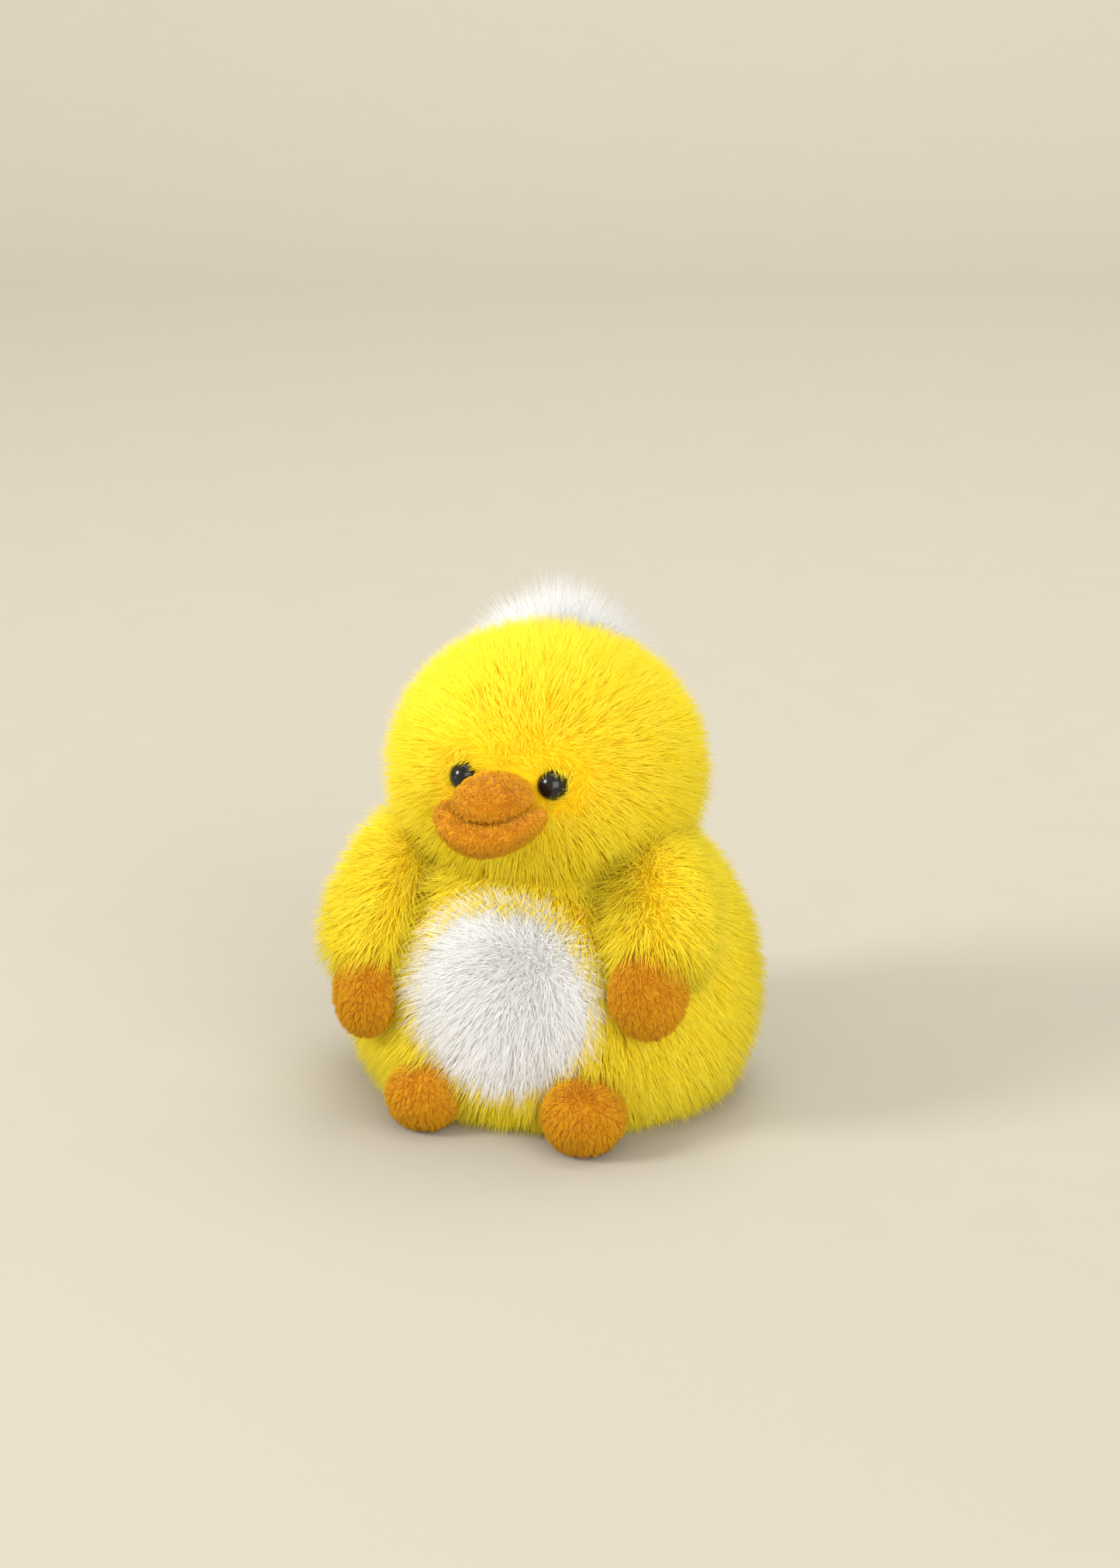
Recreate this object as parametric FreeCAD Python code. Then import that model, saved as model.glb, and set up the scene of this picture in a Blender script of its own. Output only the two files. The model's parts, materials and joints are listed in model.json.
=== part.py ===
import FreeCAD, Part
import math
import os

# A seated plush duck on a keychain. Millimetres, +Z up, the duck faces -Y and its own left is +X.
# The origin is the centre of the flat base that it sits on.

V = FreeCAD.Vector
X_AXIS = V(1, 0, 0)
Y_AXIS = V(0, 1, 0)
Z_AXIS = V(0, 0, 1)
SIDES = (("left", 1), ("right", -1))

# ---------------------------------------------------------------- driving dimensions
WALL = 2.4            # fur fabric with its pile pressed down
SHORT_WALL = 1.6      # short-pile fabric of the bill, hands and feet
SEAM = 0.1            # gap left at a sewn edge
FILL_GAP = 0.25       # between a skin and the filling inside it
FAR = 200.0           # reach of a cutting slab

# Torso: wider than it is deep, cut flat at the base and at the neck
TORSO_MIDDLE = V(0, 0, 23.2)
TORSO_HALF = V(38.2, 32.5, 37.4)
NECK_Z = 53.0
BASE_HALF_WIDTH = 19.0     # base panel sewn into the underside
PELLET_TOP_Z = 13.0

# Head: set a little forward of the torso
HEAD_MIDDLE = V(0, -3.0, 68.6)
HEAD_HALF = V(27.4, 25.8, 24.4)

# Round white belly patch
BELLY_Z = 28.9
BELLY_RADIUS = 17.4

# Bill: a mound on top of a wider rounded lip
MOUND = {"middle": V(0, -36.0, 70.4), "half": V(7.6, 9.4, 5.3)}
LIP = {"middle": V(0, -37.6, 66.6), "half": V(10.8, 10.8, 3.9)}
MOUND_CORE_SHARE = 0.78
LIP_CORE_SHARE = 0.62

# Eyes: a bead with a barbed post, held inside by a lock washer
EYE_X = 9.1
EYE_Z = 72.2
EYE_RADIUS = 3.0
EYE_HEIGHT = 2.5
EYE_LIFT = 0.15            # the bead's flat back stands just off the skin
EYE_POST_ROOM = 1.0        # how far the post's room runs past its ends
EYE_POST_RADIUS = 1.2
EYE_POST_LENGTH = 6.5
WASHER_RADIUS = 3.2
WASHER_THICKNESS = 0.9
WASHER_DEPTH = 3.1
WASHER_SLACK = (0.2, 0.4)  # room under and over the washer
PIN_GAP = 0.04

# Crest of long pile on the back of the crown
CREST = {"middle": V(-1.0, 12.0, 91.0), "half": V(14.5, 6.5, 10.5)}

# Arms: a fur sleeve that ends in a short-pile hand
BODY_GAP = 0.6             # gap between the torso and what moves against it
SHOULDER = V(22.6, -9.0, 55.8)
WRIST = V(31.0, -26.6, 32.4)
SLEEVE_RADIUS = 8.7
SLEEVE_PAST_ENDS = 2.6     # how far the sleeve's form runs past the shoulder and the wrist
CUFF_CUT = 3.2             # how far above the wrist the cuff ends
HAND_MIDDLE = V(29.4, -29.4, 29.3)
HAND_HALF = V(7.6, 4.9, 8.9)
ARM_RISE = {"left": 3.3, "right": -3.3}     # the arms were set at slightly different heights
HAND_TURN_DEG = 38.0       # turn of the hand to lie along the belly
HAND_LEAN_DEG = 8.0

# Feet: small balls at the front of the base, set slightly unevenly
FEET = {
    "left": {"middle": V(17.9, -34.6, 7.3), "half": V(7.8, 7.9, 7.3)},
    "right": {"middle": V(16.0, -32.6, 6.8), "half": V(7.1, 7.3, 6.8)},
}

# Hanging tape sewn into the back of the head, drooping behind it
TAPE_WIDTH = 6.0
TAPE_THICKNESS = 1.3
TAPE_ROOT = V(0, 21.4, 79.5)
TAPE_ROOT_GAP = 1.0        # from the hinge line to the sewn-in end
TAPE_LENGTH = 11.0
TAPE_DROOP_DEG = 50.0
TAPE_EYE_INNER = 2.1
TAPE_EYE_OUTER = 3.2
TAPE_EYE_OVERLAP = 0.3     # how far the strap stops short of the eye's hole
TAPE_TAIL_LENGTH = 7.0
TAPE_TAIL_DIP_DEG = -18.0

# Split ring
RING_RADIUS = 11.4
RING_BAND = 2.2            # radial width of the flat wire
RING_TURN = 1.05           # thickness of one turn
RING_TURN_GAP = 0.12
RING_EDGE = 0.3            # rounding of the wire's edges
RING_NECK_DEG = 14.0       # half the arc over which the two turns are joined
RING_NECK_WIDTH = 1.76
RING_NECK_OVERLAP = 0.3
RING_HANG_DEG = 22.0

# Swivel clasp
CLASP_HANG_DEG = 10.0
SWIVEL_EYE_RADIUS = 2.7
SWIVEL_EYE_WIRE = 0.8
SWIVEL_SLACK = 0.2
POST_RADIUS = 1.2
POST_FLANGE_RADIUS = 1.9
POST_FLANGE = 0.8
FLANGE_SLACK = 0.15        # between the flange and the barrel's cap
FLANGE_SIDE_GAP = 0.2
FLANGE_ROOM = 0.6          # room under the flange
BARREL_RADIUS = 3.2
BARREL_TOP = -4.3
BARREL_BOTTOM = -9.4
BARREL_CAP = 1.9
BORE_GAP = 0.08
HOOK_THICKNESS = 4.0
HOOK_MIDDLE_Z = -21.0
HOOK_OUTER = (6.9, 12.6)
HOOK_INNER = (4.2, 9.7)
HOOK_FILLET = 0.9
PIN_BLOCK = {"low": (1.4, -13.0), "size": (5.4, 4.6)}      # metal around the gate's pin
PIN_BLOCK_ROUND = (6.8, -12.2)                             # radius and height of its round end
MOUTH_X = 1.0
MOUTH_TOP_Z = -12.6
MOUTH_BOTTOM_Z = -24.4
PIN_X = 4.6
PIN_Z = -11.6
PIN_RADIUS = 0.6
KNUCKLE_RADIUS = 1.7
KNUCKLE_ROOM = 0.35
GATE_WIDTH = 1.9
GATE_TIP = (2.35, -26.2)
GATE_THICKNESS = 1.7
GATE_SLOT = 2.8
GATE_SIDE_GAP = 0.1
GATE_SWING = {"low": (2.0, -17.2), "size": (8.0, 6.0)}     # room for the gate as it opens
PIN_INSET = 0.1
THUMB_TIP = (8.6, -14.4)
SPRING_COIL_RADIUS = 1.0
SPRING_WIRE = 0.2
SPRING_TURNS = 2
SPRING_SIDE_GAP = 0.05
SPRING_TURN_GAP = 0.02


# ---------------------------------------------------------------- helpers
def torso_form(inset=0.0):
    """The torso before it is cut flat, with its wall moved inwards by inset."""
    return thinned(TORSO_MIDDLE, TORSO_HALF, inset)


def head_form(inset=0.0):
    """The whole head, with its wall moved inwards by inset."""
    return thinned(HEAD_MIDDLE, HEAD_HALF, inset)


def thinned(middle, half, inset):
    """An ellipsoid along the axes with its wall moved inwards by inset."""
    return ellipsoid(middle, half - V(inset, inset, inset))


def slab(low, high):
    """A very wide plate between two heights."""
    return Part.makeBox(2 * FAR, 2 * FAR, high - low, V(-FAR, -FAR, low))


def ellipsoid(middle, half, share=1.0):
    """An ellipsoid along the axes, scaled by share."""
    ball = Part.makeSphere(1.0)
    stretch = FreeCAD.Matrix()
    stretch.scale(half.x * share, half.y * share, half.z * share)
    ball = ball.transformGeometry(stretch)
    ball.translate(middle)
    return ball


def rod(radius, low, high):
    """A cylinder around Z between two heights."""
    return Part.makeCylinder(radius, high - low, V(0, 0, low))


def mirrored(shape, side):
    """The shape itself on the left side, and its mirror image on the right."""
    return shape if side > 0 else shape.mirror(V(0, 0, 0), X_AXIS)


def hung(shape, degrees, place):
    """A shape made hanging straight down at the origin, swung backwards and moved to its place."""
    moved = shape.copy()
    moved.rotate(V(0, 0, 0), X_AXIS, degrees)
    moved.translate(place)
    return moved


def along(degrees, distance):
    """The step of that distance down a line that leans backwards by that angle."""
    angle = math.radians(degrees)
    return V(0, distance * math.sin(angle), -distance * math.cos(angle))


def save(name, shape):
    """Writes one node, after checking that it is made of closed solids."""
    solids = shape.Solids
    for solid in solids:
        if not solid.isValid() or solid.Volume <= 0:
            raise ValueError(name + " has a solid that isn't sound")
    kept = solids[0] if len(solids) == 1 else Part.makeCompound(solids)
    kept.exportStep("parts/" + name + ".step")
    print(f"{name:24s} {len(solids)} solids {kept.Volume:9.1f} mm3")


# ---------------------------------------------------------------- torso
def make_torso():
    """Skin, belly patch, base panel, pellet pouch and filling of the torso."""
    outside = torso_form().common(slab(0, NECK_Z))
    inside = torso_form(WALL).common(slab(WALL, FAR))
    wall = outside.cut(inside)
    patch_plug = Part.makeCylinder(BELLY_RADIUS, FAR, V(0, 0, BELLY_Z), -Y_AXIS)
    patch_hole = Part.makeCylinder(BELLY_RADIUS + SEAM, FAR, V(0, 0, BELLY_Z), -Y_AXIS)
    panel_plug = ellipse_plate(BASE_HALF_WIDTH)
    panel_hole = ellipse_plate(BASE_HALF_WIDTH + SEAM)
    filling = torso_form(WALL + FILL_GAP)
    return {
        "torso_skin": wall.cut(patch_hole).cut(panel_hole),
        "belly_patch": wall.common(patch_plug),
        "base_panel": outside.common(panel_plug),
        "pellet_pouch": filling.common(slab(WALL + FILL_GAP, PELLET_TOP_Z)),
        "torso_filling": filling.common(slab(PELLET_TOP_Z + FILL_GAP, NECK_Z)),
    }


def ellipse_plate(half_width):
    """A plate as thick as the fabric and shaped like the torso's section, lying on the base plane."""
    curve = Part.Ellipse(V(0, 0, 0), half_width, half_width * TORSO_HALF.y / TORSO_HALF.x)
    face = Part.Face(Part.Wire([curve.toShape()]))
    return face.extrude(V(0, 0, WALL))


# ---------------------------------------------------------------- head
def eye_place():
    """The point on the head's surface under the left eye, found along Y."""
    line = Part.makeLine(V(EYE_X, -FAR, EYE_Z), V(EYE_X, HEAD_MIDDLE.y, EYE_Z))
    inside = line.common(head_form())
    return V(EYE_X, inside.BoundBox.YMin, EYE_Z)


def on_eye_axis(shape, place):
    """A shape made with +Z out of the head, turned square to the head's surface and moved there."""
    offset = place - HEAD_MIDDLE
    outward = V(offset.x / HEAD_HALF.x ** 2, offset.y / HEAD_HALF.y ** 2, offset.z / HEAD_HALF.z ** 2)
    placed = shape.copy()
    placed.Placement = FreeCAD.Placement(place, FreeCAD.Rotation(Z_AXIS, outward))
    return placed


def make_eye():
    """The left eye's bead with post, its lock washer, and the rooms that they need in the head."""
    ball_radius = (EYE_RADIUS ** 2 + EYE_HEIGHT ** 2) / (2 * EYE_HEIGHT)
    ball = Part.makeSphere(ball_radius, V(0, 0, EYE_HEIGHT - ball_radius + EYE_LIFT))
    dome = ball.common(slab(EYE_LIFT, FAR))
    post = rod(EYE_POST_RADIUS, -EYE_POST_LENGTH, EYE_LIFT)
    top, bottom = -WASHER_DEPTH, -WASHER_DEPTH - WASHER_THICKNESS
    washer = rod(WASHER_RADIUS, bottom, top).cut(rod(EYE_POST_RADIUS + PIN_GAP, -FAR, FAR))
    post_room = rod(EYE_POST_RADIUS + SEAM, -EYE_POST_LENGTH - EYE_POST_ROOM, EYE_POST_ROOM)
    washer_room = rod(WASHER_RADIUS + SEAM, bottom - WASHER_SLACK[0], top + WASHER_SLACK[1])
    return dome.fuse(post), washer, post_room.fuse(washer_room), post_room


def make_head():
    """Skin, filling, crest and eyes of the head, with the slot that the tape is sewn into."""
    place = eye_place()
    bead, washer, filling_room, skin_room = make_eye()
    head_solid = head_form()
    above_neck = slab(NECK_Z + SEAM, FAR)
    skin = head_solid.common(above_neck).cut(head_form(WALL))
    filling = head_form(WALL + FILL_GAP).common(above_neck)
    slot, tail = tape_tail()
    nodes = {}
    for name, side in SIDES:
        skin = skin.cut(mirrored(on_eye_axis(skin_room, place), side))
        filling = filling.cut(mirrored(on_eye_axis(filling_room, place), side))
        nodes["eye_" + name] = mirrored(on_eye_axis(bead, place), side)
        nodes["eye_washer_" + name] = mirrored(on_eye_axis(washer, place), side)
    nodes["head_skin"] = skin.cut(slot)
    nodes["head_filling"] = filling.cut(slot)
    nodes["tape_tail"] = tail
    nodes["crest"] = ellipsoid(CREST["middle"], CREST["half"]).cut(head_solid)
    return nodes


def tape_tail():
    """The tape's sewn-in end inside the back of the head, and the slot for it."""
    def strip(width, thickness, length):
        return Part.makeBox(width, length, thickness, V(-width / 2, -length, -thickness / 2))
    place = TAPE_ROOT - V(0, TAPE_ROOT_GAP, 0)
    parts = []
    for grow in (2 * SEAM, 0.0):
        piece = strip(TAPE_WIDTH + grow, TAPE_THICKNESS + grow, TAPE_TAIL_LENGTH + grow)
        piece.rotate(V(0, 0, 0), X_AXIS, TAPE_TAIL_DIP_DEG)
        piece.translate(place + V(0, grow / 2, 0))
        parts.append(piece)
    return parts


# ---------------------------------------------------------------- bill
def make_bill():
    """The bill's upper mound and its lip, sewn to the head and to each other, and the filling of each."""
    head_solid = head_form()
    lip = ellipsoid(**LIP).cut(head_solid)
    mound = ellipsoid(**MOUND).cut(head_solid).cut(ellipsoid(**LIP))
    nodes = {"bill_lip": lip, "bill_mound": mound}
    for name, form, share in (("bill_lip", LIP, LIP_CORE_SHARE), ("bill_mound", MOUND, MOUND_CORE_SHARE)):
        middle, half = form["middle"], form["half"] * share
        room = ellipsoid(middle, half).common(nodes[name])
        filling = thinned(middle, half, FILL_GAP).common(nodes[name])
        nodes[name] = nodes[name].cut(room)
        nodes[name + "_filling"] = filling
    return nodes


# ---------------------------------------------------------------- arms and feet
def placed_sleeve(rise, inset):
    """A left sleeve's form, shoulder to cuff, with its wrist raised and its wall moved inwards by inset."""
    wrist = WRIST + Z_AXIS * rise
    down = wrist - SHOULDER
    half_length = down.Length / 2 + SLEEVE_PAST_ENDS
    form = thinned(V(0, 0, 0), V(SLEEVE_RADIUS, SLEEVE_RADIUS, half_length), inset)
    form = form.common(slab(CUFF_CUT - down.Length / 2, FAR))
    form.Placement = FreeCAD.Placement((SHOULDER + wrist) * 0.5, FreeCAD.Rotation(-Z_AXIS, down))
    return form


def placed_hand(rise, inset):
    """A left hand's form, raised, with its wall moved inwards by inset."""
    form = thinned(V(0, 0, 0), HAND_HALF, inset)
    form.rotate(V(0, 0, 0), X_AXIS, -HAND_LEAN_DEG)
    form.rotate(V(0, 0, 0), Z_AXIS, HAND_TURN_DEG)
    form.translate(HAND_MIDDLE + Z_AXIS * rise)
    return form


def off_body(shape, gap):
    """The part of a shape that is at least that gap away from the torso and the head."""
    return shape.cut(torso_form(-gap)).cut(head_form(-gap))


def make_arm(rise):
    """Sleeve, hand and their fillings for a left arm."""
    hand = placed_hand(rise, 0.0)
    sleeve = off_body(placed_sleeve(rise, 0.0), BODY_GAP)
    room = off_body(placed_sleeve(rise, WALL), BODY_GAP + WALL)
    filling = off_body(placed_sleeve(rise, WALL + FILL_GAP), BODY_GAP + WALL + FILL_GAP)
    return {
        "sleeve": sleeve.cut(room).cut(hand),
        "hand": off_body(hand, BODY_GAP).cut(placed_hand(rise, SHORT_WALL)),
        "sleeve_filling": filling.cut(placed_hand(rise, -FILL_GAP)),
        "hand_filling": placed_hand(rise, SHORT_WALL + FILL_GAP),
    }


def make_foot(middle, half):
    """Skin and filling of a left foot."""
    inner = SHORT_WALL + FILL_GAP
    skin = thinned(middle, half, 0).cut(torso_form(-BODY_GAP))
    room = thinned(middle, half, SHORT_WALL).cut(torso_form(-BODY_GAP - SHORT_WALL))
    filling = thinned(middle, half, inner).cut(torso_form(-BODY_GAP - inner))
    return {"foot": skin.cut(room), "foot_filling": filling}


# ---------------------------------------------------------------- hanging tape and ring
def make_tape():
    """The tape loop outside the head: a doubled strap that ends in an eye round the split ring."""
    side = -TAPE_WIDTH / 2
    strap_length = TAPE_LENGTH - TAPE_EYE_INNER - TAPE_EYE_OVERLAP
    strap_corner = V(side, -TAPE_THICKNESS / 2, -strap_length)
    strap = Part.makeBox(TAPE_WIDTH, TAPE_THICKNESS, strap_length, strap_corner)
    root = Part.makeCylinder(TAPE_THICKNESS / 2, TAPE_WIDTH, V(side, 0, 0), X_AXIS)
    eye = Part.makeCylinder(TAPE_EYE_OUTER, TAPE_WIDTH, V(side, 0, -TAPE_LENGTH), X_AXIS)
    hole = Part.makeCylinder(TAPE_EYE_INNER, TAPE_WIDTH, V(side, 0, -TAPE_LENGTH), X_AXIS)
    loop = strap.fuse(root).fuse(eye).cut(hole).removeSplitter()
    return hung(loop, TAPE_DROOP_DEG, TAPE_ROOT)


def ring_turn(low):
    """One flat turn of the split ring, lying across Y from low upwards."""
    outer = Part.makeCylinder(RING_RADIUS + RING_BAND / 2, RING_TURN, V(0, low, 0), Y_AXIS)
    inner = Part.makeCylinder(RING_RADIUS - RING_BAND / 2, RING_TURN, V(0, low, 0), Y_AXIS)
    turn = outer.cut(inner)
    return turn.makeFillet(RING_EDGE, turn.Edges)


def make_ring():
    """The split ring: two turns of flat wire joined over a short neck on one side."""
    offset = RING_TURN_GAP / 2
    turns = ring_turn(offset).fuse(ring_turn(-offset - RING_TURN))
    deep = offset + RING_NECK_OVERLAP
    tall = RING_RADIUS * math.sin(math.radians(RING_NECK_DEG))
    corner = V(RING_RADIUS - RING_NECK_WIDTH / 2, -deep, -tall)
    neck = Part.makeBox(RING_NECK_WIDTH, 2 * deep, 2 * tall, corner)
    inside = Part.makeCylinder(RING_RADIUS + RING_NECK_WIDTH / 2, 4 * deep, V(0, -2 * deep, 0), Y_AXIS)
    ring = turns.fuse(neck.common(inside))
    ring.translate(V(0, 0, -RING_RADIUS))
    return hung(ring, RING_HANG_DEG, ring_top())


def ring_top():
    """The middle of the wire at the top of the ring, inside the tape's eye."""
    return TAPE_ROOT + along(TAPE_DROOP_DEG, TAPE_LENGTH)


def ring_bottom():
    """The middle of the wire at the bottom of the ring, inside the swivel's eye."""
    return ring_top() + along(RING_HANG_DEG, 2 * RING_RADIUS)


def clasp_place():
    """The middle of the swivel's eye."""
    return ring_bottom() + along(CLASP_HANG_DEG, SWIVEL_SLACK)


# ---------------------------------------------------------------- swivel clasp
def make_swivel():
    """The swivel's eye with its headed post."""
    eye = Part.makeTorus(SWIVEL_EYE_RADIUS, SWIVEL_EYE_WIRE, V(0, 0, 0), X_AXIS)
    bottom = BARREL_TOP - BARREL_CAP - FLANGE_SLACK
    post = rod(POST_RADIUS, bottom, -SWIVEL_EYE_RADIUS)
    flange = rod(POST_FLANGE_RADIUS, bottom - POST_FLANGE, bottom)
    hole = Part.makeCylinder(SWIVEL_EYE_RADIUS - SWIVEL_EYE_WIRE, FAR, V(-FAR / 2, 0, 0), X_AXIS)
    return eye.fuse(post).fuse(flange).cut(hole)


def upright_ellipse(half_x, half_z, thickness):
    """An elliptical plate across Y, in the middle of the hook."""
    curve = Part.Ellipse(V(0, 0, 0), half_z, half_x)
    plate = Part.Face(Part.Wire([curve.toShape()])).extrude(V(0, 0, thickness))
    plate.rotate(V(0, 0, 0), Z_AXIS, 90)
    plate.rotate(V(0, 0, 0), X_AXIS, 90)
    plate.translate(V(0, thickness / 2, HOOK_MIDDLE_Z))
    return plate


def upright_box(low, size, thickness):
    """A box across Y in the middle of the hook, from its low (x, z) corner."""
    return Part.makeBox(size[0], thickness, size[1], V(low[0], -thickness / 2, low[1]))


def around_pin(radius, width):
    """A cylinder across Y around the gate's pin, in the middle of the hook."""
    return Part.makeCylinder(radius, width, V(PIN_X, -width / 2, PIN_Z), Y_AXIS)


def make_bow():
    """The hook's closed bow with rounded edges."""
    bow = upright_ellipse(*HOOK_OUTER, HOOK_THICKNESS)
    bow = bow.makeFillet(HOOK_FILLET, bow.Edges)
    bow = bow.cut(upright_ellipse(*HOOK_INNER, 2 * HOOK_THICKNESS))
    loops = [edge for edge in bow.Edges if edge.Length > 2 * sum(HOOK_INNER)]
    inner = [edge for edge in loops if abs(edge.BoundBox.XMax - HOOK_INNER[0]) < SEAM]
    return bow.makeFillet(HOOK_FILLET / 2, inner)


def make_hook():
    """The clasp's body: a barrel for the swivel, and a hook with its mouth open towards the gate."""
    mouth_size = (FAR, MOUTH_TOP_Z - MOUTH_BOTTOM_Z)
    mouth = upright_box((MOUTH_X, MOUTH_BOTTOM_Z), mouth_size, FAR)
    radius, height = PIN_BLOCK_ROUND
    block = upright_box(**PIN_BLOCK, thickness=HOOK_THICKNESS)
    block = block.common(Part.makeCylinder(radius, FAR, V(0, -FAR / 2, height), Y_AXIS))
    body = make_bow().cut(mouth).fuse(rod(BARREL_RADIUS, BARREL_BOTTOM, BARREL_TOP)).fuse(block)
    cap_bottom = BARREL_TOP - BARREL_CAP
    room_bottom = cap_bottom - POST_FLANGE - FLANGE_ROOM
    body = body.cut(rod(POST_RADIUS + BORE_GAP, cap_bottom - FLANGE_ROOM, FAR))
    body = body.cut(rod(POST_FLANGE_RADIUS + FLANGE_SIDE_GAP, room_bottom, cap_bottom))
    body = body.cut(around_pin(KNUCKLE_RADIUS + KNUCKLE_ROOM, GATE_SLOT))
    body = body.cut(upright_box(**GATE_SWING, thickness=GATE_SLOT))
    return body.cut(around_pin(PIN_RADIUS, FAR))


def bar(start, end, width, thickness):
    """A straight bar with round ends across Y, between two (x, z) points."""
    a, b = V(start[0], 0, start[1]), V(end[0], 0, end[1])
    sideways = (b - a).cross(Y_AXIS).normalize() * (width / 2)
    corners = [a + sideways, b + sideways, b - sideways, a - sideways, a + sideways]
    blade = Part.Face(Part.makePolygon(corners)).extrude(V(0, thickness, 0))
    for end_point in (a, b):
        blade = blade.fuse(Part.makeCylinder(width / 2, thickness, end_point, Y_AXIS))
    return blade.removeSplitter()


def make_gate():
    """The sprung gate: a knuckle on the pin, a bar that closes the mouth, and a thumb lever."""
    pivot = (PIN_X, PIN_Z)
    gate = bar(pivot, GATE_TIP, GATE_WIDTH, GATE_THICKNESS)
    gate = gate.fuse(bar(pivot, THUMB_TIP, GATE_WIDTH, GATE_THICKNESS))
    gate = gate.fuse(Part.makeCylinder(KNUCKLE_RADIUS, GATE_THICKNESS, V(PIN_X, 0, PIN_Z), Y_AXIS))
    gate = gate.cut(around_pin(PIN_RADIUS + PIN_GAP, FAR))
    gate.translate(V(0, -GATE_SLOT / 2 + GATE_SIDE_GAP, 0))
    return gate.removeSplitter()


def make_clasp_small_parts():
    """The gate's pin, and its coil spring beside the knuckle."""
    gate_face = -GATE_SLOT / 2 + GATE_SIDE_GAP + GATE_THICKNESS
    first = gate_face + SPRING_WIRE + SPRING_SIDE_GAP
    coils = []
    for turn in range(SPRING_TURNS):
        at = V(PIN_X, first + turn * (2 * SPRING_WIRE + SPRING_TURN_GAP), PIN_Z)
        coils.append(Part.makeTorus(SPRING_COIL_RADIUS, SPRING_WIRE, at, Y_AXIS))
    return around_pin(PIN_RADIUS, HOOK_THICKNESS - 2 * PIN_INSET), Part.makeCompound(coils)


def make_clasp():
    """Every node of the clasp, at its place behind the torso."""
    pin, spring = make_clasp_small_parts()
    nodes = {
        "clasp_swivel": make_swivel(),
        "clasp_hook": make_hook(),
        "clasp_gate": make_gate(),
        "gate_pin": pin,
        "gate_spring": spring,
    }
    return {name: hung(shape, CLASP_HANG_DEG, clasp_place()) for name, shape in nodes.items()}


# ---------------------------------------------------------------- the whole part
def main():
    os.makedirs("parts", exist_ok=True)
    nodes = {}
    nodes.update(make_torso())
    nodes.update(make_head())
    nodes.update(make_bill())
    for side_name, side in SIDES:
        limbs = {**make_arm(ARM_RISE[side_name]), **make_foot(**FEET[side_name])}
        for name, shape in limbs.items():
            nodes[name + "_" + side_name] = mirrored(shape, side)
    nodes["tape_loop"] = make_tape()
    nodes["split_ring"] = make_ring()
    nodes.update(make_clasp())
    for name, shape in nodes.items():
        save(name, shape)
    gate_pin = hung(Part.Vertex(PIN_X, 0, PIN_Z), CLASP_HANG_DEG, clasp_place()).Point
    places = {"ring_top": ring_top(), "ring_bottom": ring_bottom(), "clasp_place": clasp_place()}
    for label, point in {**places, "gate_pin": gate_pin}.items():
        print(label, [round(value, 3) for value in point])


main()
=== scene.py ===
# %% [markdown]
# # A seated plush duck on a keychain
# The real duck is sewn from long-pile faux fur round a firm filling, with a velvety bill, hands and feet,
# two bead eyes, a white belly and a white crest. A tape loop at the back of its head holds a split ring and
# a swivel clasp. The measured shapes come from the CAD frame. Blender adds what CAD can't: stuffed fabric
# and the pile on it.

# %% Load the frame and keep its box
import json
import math

import bmesh
import bpy
import numpy as np
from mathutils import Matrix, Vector

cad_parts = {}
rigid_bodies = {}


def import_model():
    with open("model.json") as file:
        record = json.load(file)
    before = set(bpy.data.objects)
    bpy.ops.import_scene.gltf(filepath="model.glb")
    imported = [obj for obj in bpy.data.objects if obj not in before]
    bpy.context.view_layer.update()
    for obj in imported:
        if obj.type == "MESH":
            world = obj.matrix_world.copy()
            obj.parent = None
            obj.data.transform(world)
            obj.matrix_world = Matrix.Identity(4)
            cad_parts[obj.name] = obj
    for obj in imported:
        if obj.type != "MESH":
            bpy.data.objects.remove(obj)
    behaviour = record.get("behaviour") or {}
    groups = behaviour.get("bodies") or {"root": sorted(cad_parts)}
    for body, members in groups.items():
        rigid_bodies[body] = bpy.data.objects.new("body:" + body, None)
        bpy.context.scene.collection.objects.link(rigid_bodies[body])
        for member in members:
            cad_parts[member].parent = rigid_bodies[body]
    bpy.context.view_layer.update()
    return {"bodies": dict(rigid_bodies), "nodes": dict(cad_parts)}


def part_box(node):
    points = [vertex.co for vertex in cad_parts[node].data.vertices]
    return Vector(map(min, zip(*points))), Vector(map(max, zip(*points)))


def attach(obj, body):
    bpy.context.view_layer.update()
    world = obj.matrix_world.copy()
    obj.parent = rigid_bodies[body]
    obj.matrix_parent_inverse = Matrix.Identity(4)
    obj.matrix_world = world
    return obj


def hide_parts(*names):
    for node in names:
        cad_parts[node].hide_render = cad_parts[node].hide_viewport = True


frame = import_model()
MM = 0.001
print("bodies:", sorted(frame["bodies"]))

# %% [markdown]
# ## Camera, light and floor
# The duck sits on a pale sweep: a floor that curves up into a wall with no visible corner. A long lens from
# a little above and to one side keeps its proportions. The lamps come at the end, after the floor.

# %% Camera
CAMERA_TURN_DEG = 18.0
CAMERA_RISE_DEG = 18.0
CAMERA_DISTANCE = 0.764
CAMERA_LENS = 85.0
AIM_RIGHT = 1.7 * MM
AIM_UP = 60.1 * MM


def view_axes(turn, rise):
    """Right, up and backward directions of a camera that looks along +Y when turn and rise are 0."""
    right = Vector((math.cos(turn), math.sin(turn), 0))
    back = Vector((math.sin(turn) * math.cos(rise), -math.cos(turn) * math.cos(rise), math.sin(rise)))
    return right, back.cross(right), back


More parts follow.
